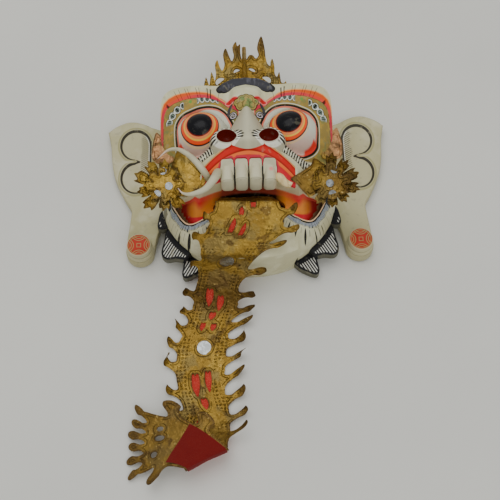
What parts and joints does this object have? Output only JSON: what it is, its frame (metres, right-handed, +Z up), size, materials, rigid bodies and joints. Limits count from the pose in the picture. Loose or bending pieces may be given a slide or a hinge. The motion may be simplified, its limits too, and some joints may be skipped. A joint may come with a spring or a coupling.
{
  "type": "rangda mask",
  "caption": "Carved and painted wooden Rangda dance mask with bulging eyes, tusks, gilded leather crest and rosettes, and a long folded leather tongue, lying on its back.",
  "frame": {"origin": "middle of the mask's footprint on the table, at the height of the back rim", "axes": "+X to the viewer's right, +Y from the tongue's end to the crest, +Z up out of the face; the mask lies on its back"},
  "size_m": [0.3386, 0.5226, 0.135],
  "materials": {
    "painted_wood": "satin paint, cream with coloured and black line work",
    "tusk_paint": "satin cream paint over carved wood",
    "gilded_leather": "worn gold leaf over brown rawhide, stamped with dots",
    "red_felt": "matt wool felt",
    "mirror_glass": "small old mirrors, slightly dull"
  },
  "bodies": {
    "root": {"crest": "gilded_leather", "crest_fin": "gilded_leather", "ear_left": "painted_wood", "ear_right": "painted_wood", "earring_left": "painted_wood", "earring_right": "painted_wood", "face": "painted_wood", "rosette_left": "gilded_leather", "rosette_mirror_left_1": "mirror_glass", "rosette_mirror_left_2": "mirror_glass", "rosette_mirror_left_3": "mirror_glass", "rosette_mirror_right_1": "mirror_glass", "rosette_mirror_right_2": "mirror_glass", "rosette_mirror_right_3": "mirror_glass", "rosette_right": "gilded_leather", "temple_leaf_left": "gilded_leather", "temple_leaf_right": "gilded_leather", "tongue": "gilded_leather", "tongue_lining": "red_felt", "tongue_mirror_1": "mirror_glass", "tongue_mirror_2": "mirror_glass", "tusk_lower_left": "tusk_paint", "tusk_stub_right": "tusk_paint", "tusk_upper_left": "tusk_paint"}
  },
  "joints": []
}
